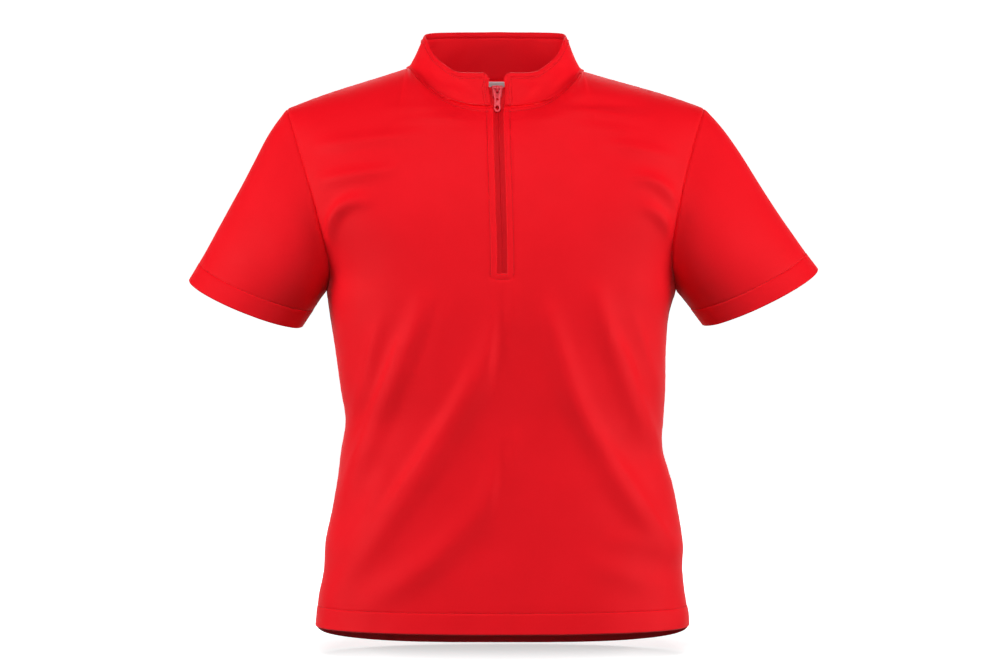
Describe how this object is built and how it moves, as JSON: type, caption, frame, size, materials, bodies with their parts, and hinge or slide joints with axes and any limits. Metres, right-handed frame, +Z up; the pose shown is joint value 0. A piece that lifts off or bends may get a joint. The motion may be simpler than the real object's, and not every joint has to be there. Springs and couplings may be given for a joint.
{
  "type": "t-shirt with stand collar and short zip",
  "caption": "Short-sleeved t-shirt with a stand collar and a zip from the neck to mid-chest, hollow and filled out as worn.",
  "frame": {"origin": "middle of the neck at the height of the shoulder seams' inner ends, where the wearer carries the shirt", "axes": "+Z up, the front faces -Y, +X towards the wearer's left arm"},
  "size_m": [0.691, 0.2434, 0.6871],
  "materials": {
    "red_knit": "fine smooth sports knit, soft sheen",
    "label": "plain woven satin",
    "zip_tape": "woven tape",
    "zip_coil": "nylon coil",
    "zip_metal": "enamelled, semi-gloss"
  },
  "bodies": {
    "root": {"front": "red_knit", "back": "red_knit", "sleeve_left": "red_knit", "sleeve_right": "red_knit", "collar": "red_knit", "neck_label": "label", "zip_tape_left": "zip_tape", "zip_tape_right": "zip_tape", "zip_coil": "zip_coil", "zip_slider": "zip_metal"},
    "pull_tab": {"zip_pull": "zip_metal"}
  },
  "joints": [
    {"name": "pull_tab_hinge", "type": "hinge", "parent": "root", "child": "pull_tab", "pos_m": [0.00276, -0.07039, -0.02262], "axis": [-1, 0, 0], "range_deg": [0, 150]}
  ]
}
